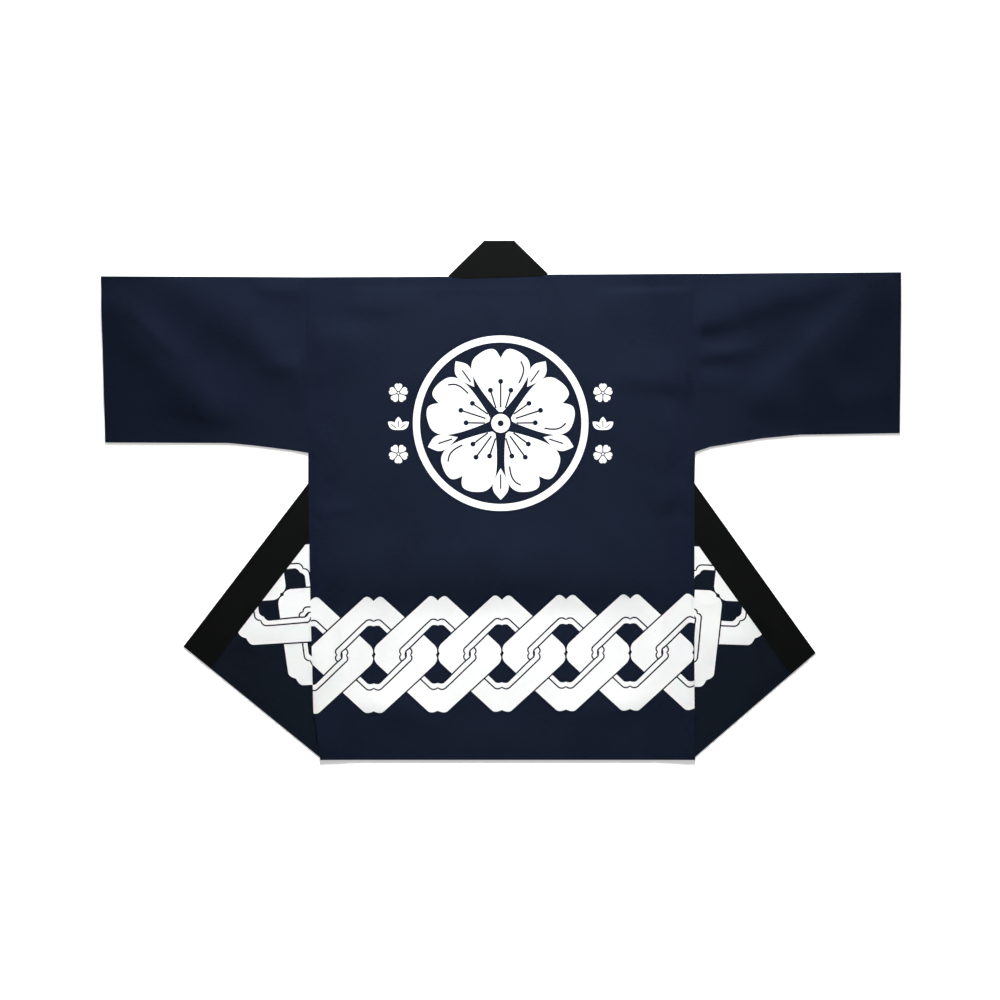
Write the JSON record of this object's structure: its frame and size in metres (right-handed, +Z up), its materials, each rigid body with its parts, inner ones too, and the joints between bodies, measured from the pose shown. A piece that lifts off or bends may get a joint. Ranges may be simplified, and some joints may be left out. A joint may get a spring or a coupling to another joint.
{
  "type": "happi coat",
  "caption": "Short straight-sleeved coat laid flat with its back up and both fronts turned out beneath it, with a collar band.",
  "frame": {"origin": "centre of the plan outline, on the surface that the coat lies on", "axes": "+X along the two sleeves, towards the sleeve at the viewer's right; +Y towards the neck; +Z up, out of the coat's back"},
  "size_m": [1.318, 0.8561, 0.0064],
  "materials": {
    "navy_cotton": "matte plain-weave cotton, dyed navy, printed in white",
    "black_cotton": "matte plain-weave cotton, black"
  },
  "bodies": {
    "root": {"back_panel": "navy_cotton", "front_left": "navy_cotton", "front_right": "navy_cotton", "sleeve_left": "navy_cotton", "sleeve_right": "navy_cotton", "collar": "black_cotton"}
  },
  "joints": []
}
